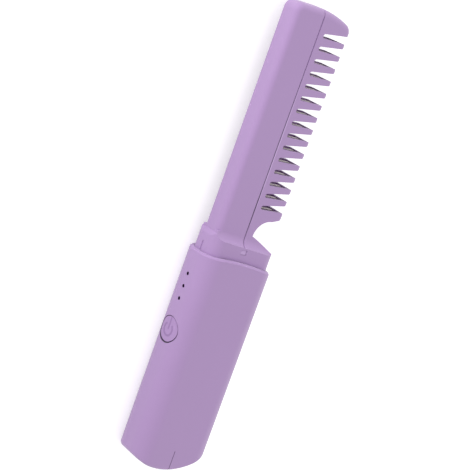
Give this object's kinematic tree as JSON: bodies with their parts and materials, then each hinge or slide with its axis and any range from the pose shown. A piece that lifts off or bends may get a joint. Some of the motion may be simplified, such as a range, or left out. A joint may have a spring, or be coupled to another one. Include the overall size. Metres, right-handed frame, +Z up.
{
  "type": "hair straightening comb",
  "caption": "Slim cordless heated comb with a flat lilac handle, a side power button, small charge lights and a toothed head around a hot metal comb.",
  "frame": {"origin": "under the middle of the overall length, on the surface that the handle lies on", "axes": "+X along the handle towards its charging end, +Y towards the teeth, +Z up"},
  "size_m": [0.1988, 0.0372, 0.019],
  "materials": {
    "lilac_plastic": "satin moulded plastic",
    "hot_plate": "satin, warm grey",
    "ceramic": "matt white ceramic",
    "mica": "thin golden sheet",
    "heat_proof_plastic": "matt brown-black",
    "spring_steel": "plain steel",
    "nickel": "plain nickel strip",
    "cell_can": "can in a plastic sleeve",
    "foam": "dark foam",
    "frame_plastic": "natural white plastic",
    "board": "green solder mask",
    "chip_black": "moulded black",
    "clear_plastic": "smoked clear plastic",
    "led_body": "pale resin",
    "wire_red": "soft insulation",
    "wire_black": "soft insulation"
  },
  "bodies": {
    "comb": {"sleeve": "lilac_plastic", "spine_shell": "lilac_plastic", "comb_shell": "lilac_plastic", "switch_body": "chip_black", "heater_comb": "hot_plate", "heater_element": "ceramic", "mica_sheets": "mica", "heater_clips": "spring_steel", "front_carrier": "heat_proof_plastic", "rear_carrier": "heat_proof_plastic", "thermistor": "led_body", "thermal_fuse": "ceramic", "heater_leads": "wire_red", "sensor_lead": "wire_black", "inner_frame": "frame_plastic", "frame_screws": "spring_steel", "spine_side_cell": "cell_can", "comb_side_cell": "cell_can", "nickel_strips": "nickel", "foam_pads": "foam", "pack_lead": "wire_red", "main_board": "board", "board_chips": "chip_black", "indicator_leds": "led_body", "light_guide": "clear_plastic", "charge_board": "board", "usb_socket": "spring_steel", "usb_tongue": "chip_black", "charge_lead": "wire_red"},
    "button": {"power_button": "lilac_plastic", "switch_plunger": "chip_black"}
  },
  "joints": [
    {"name": "button_press", "type": "slide", "parent": "comb", "child": "button", "axis": [0, 1, 0], "range_m": [0, 0.0005], "stiffness_N_per_m": 2000}
  ]
}
